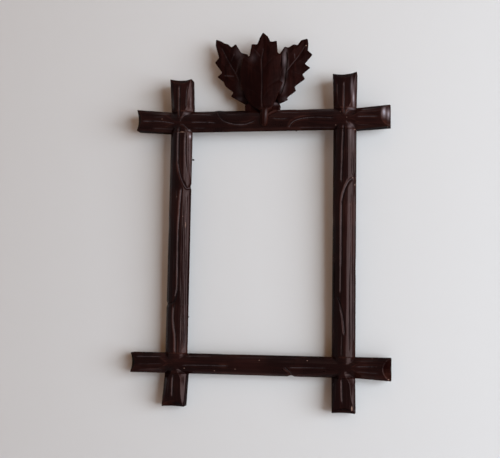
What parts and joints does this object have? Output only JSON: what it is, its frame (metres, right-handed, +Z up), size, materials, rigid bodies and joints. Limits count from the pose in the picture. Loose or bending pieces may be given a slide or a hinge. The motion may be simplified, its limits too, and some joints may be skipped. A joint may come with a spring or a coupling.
{
  "type": "picture frame",
  "caption": "Carved wooden picture frame of crossed battens with half-lap corners, scooped horn ends, a crest of serrated leaves and a hanging ring.",
  "frame": {"origin": "on the back plane of the frame, midway between its stiles, at the hanging ring's staple", "axes": "+Z up, +X to the right seen from the front, +Y backwards to the wall, so the front faces -Y"},
  "size_m": [0.2596, 0.024, 0.3786],
  "materials": {
    "batten_wood": "dark red-brown stained hardwood under satin lacquer, worn lighter on the edges",
    "leaf_wood": "dark red-brown stained carved hardwood under satin lacquer",
    "dowel_wood": "plain turned birch",
    "nail_steel": "dull old iron wire",
    "sprig_steel": "dull headless steel brad",
    "brass": "aged unlacquered brass wire"
  },
  "bodies": {
    "frame": {"left_stile": "batten_wood", "right_stile": "batten_wood", "top_rail": "batten_wood", "bottom_rail": "batten_wood", "centre_leaf": "leaf_wood", "left_leaf": "leaf_wood", "right_leaf": "leaf_wood", "leaf_dowel_left": "dowel_wood", "leaf_dowel_right": "dowel_wood", "stem_nail_upper": "nail_steel", "stem_nail_lower": "nail_steel", "corner_nail_top_left": "nail_steel", "corner_nail_top_right": "nail_steel", "corner_nail_bottom_left": "nail_steel", "corner_nail_bottom_right": "nail_steel", "sprig_left_upper": "sprig_steel", "sprig_left_lower": "sprig_steel", "sprig_right_upper": "sprig_steel", "sprig_right_lower": "sprig_steel", "sprig_top": "sprig_steel", "sprig_bottom": "sprig_steel", "hanger_staple": "brass"},
    "ring": {"hanger_ring": "brass"}
  },
  "joints": [
    {"name": "ring_swing", "type": "hinge", "parent": "frame", "child": "ring", "pos_m": [0, 0.0022, 0], "axis": [1, 0, 0], "range_deg": [-4, 184]}
  ]
}
